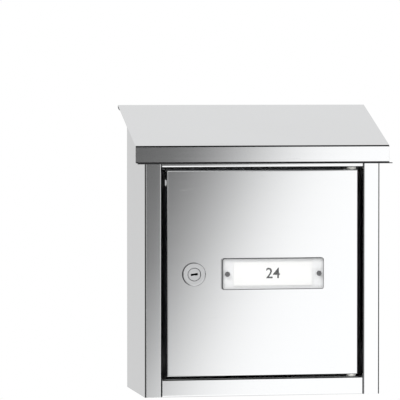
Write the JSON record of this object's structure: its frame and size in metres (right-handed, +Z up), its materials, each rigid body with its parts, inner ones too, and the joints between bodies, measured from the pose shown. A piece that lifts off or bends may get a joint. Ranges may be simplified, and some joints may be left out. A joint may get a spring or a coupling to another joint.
{
  "type": "wall mounted mailbox",
  "caption": "Wall mounted stainless mailbox with a sloped hood, a locking front door with a name plate, and a rear posting slot under a hinged flap.",
  "frame": {"origin": "on the outside of the back panel, on its centre line, 120 mm above the underside", "axes": "+X right seen from the front, +Y into the wall, +Z up"},
  "size_m": [0.27, 0.1481, 0.3033],
  "materials": {
    "polished_steel": "bright polished stainless sheet",
    "satin_steel": "satin stainless sheet, grain along its length",
    "lock_nickel": "nickel plated, satin, turned",
    "plain_steel": "zinc plated",
    "nylon": "natural nylon",
    "clear_acrylic": "clear moulded acrylic",
    "grey_plastic": "light grey moulded plastic",
    "card": "white card"
  },
  "bodies": {
    "housing": {"left_side_panel": "polished_steel", "right_side_panel": "polished_steel", "back_panel": "polished_steel", "base_pan": "polished_steel", "top_front_rail": "polished_steel", "hood": "polished_steel", "lower_hinge_pin": "plain_steel", "upper_hinge_pin": "plain_steel", "lower_hinge_washer": "nylon", "upper_hinge_washer": "nylon", "letter_plate_frame": "satin_steel", "letter_flap_pin": "plain_steel"},
    "door": {"door": "polished_steel", "lock_body": "lock_nickel", "lock_nut": "plain_steel", "name_plate_backing": "grey_plastic", "name_plate_cover": "clear_acrylic", "name_card": "card", "name_plate_screw_left": "plain_steel", "name_plate_screw_right": "plain_steel"},
    "lock_core": {"lock_plug": "lock_nickel", "lock_cam": "plain_steel", "cam_screw": "plain_steel"},
    "letter_flap": {"letter_flap": "satin_steel"}
  },
  "joints": [
    {"name": "door_hinge", "type": "hinge", "parent": "housing", "child": "door", "pos_m": [0.09575, -0.1135, 0.0088], "axis": [0, 0, 1], "range_deg": [0, 110]},
    {"name": "lock_turn", "type": "hinge", "parent": "door", "child": "lock_core", "pos_m": [-0.0733, -0.112, 0.008], "axis": [0, 1, 0], "range_deg": [0, 90]},
    {"name": "flap_hinge", "type": "hinge", "parent": "housing", "child": "letter_flap", "pos_m": [0, 0.006, 0.1445], "axis": [1, 0, 0], "range_deg": [0, 80]}
  ]
}
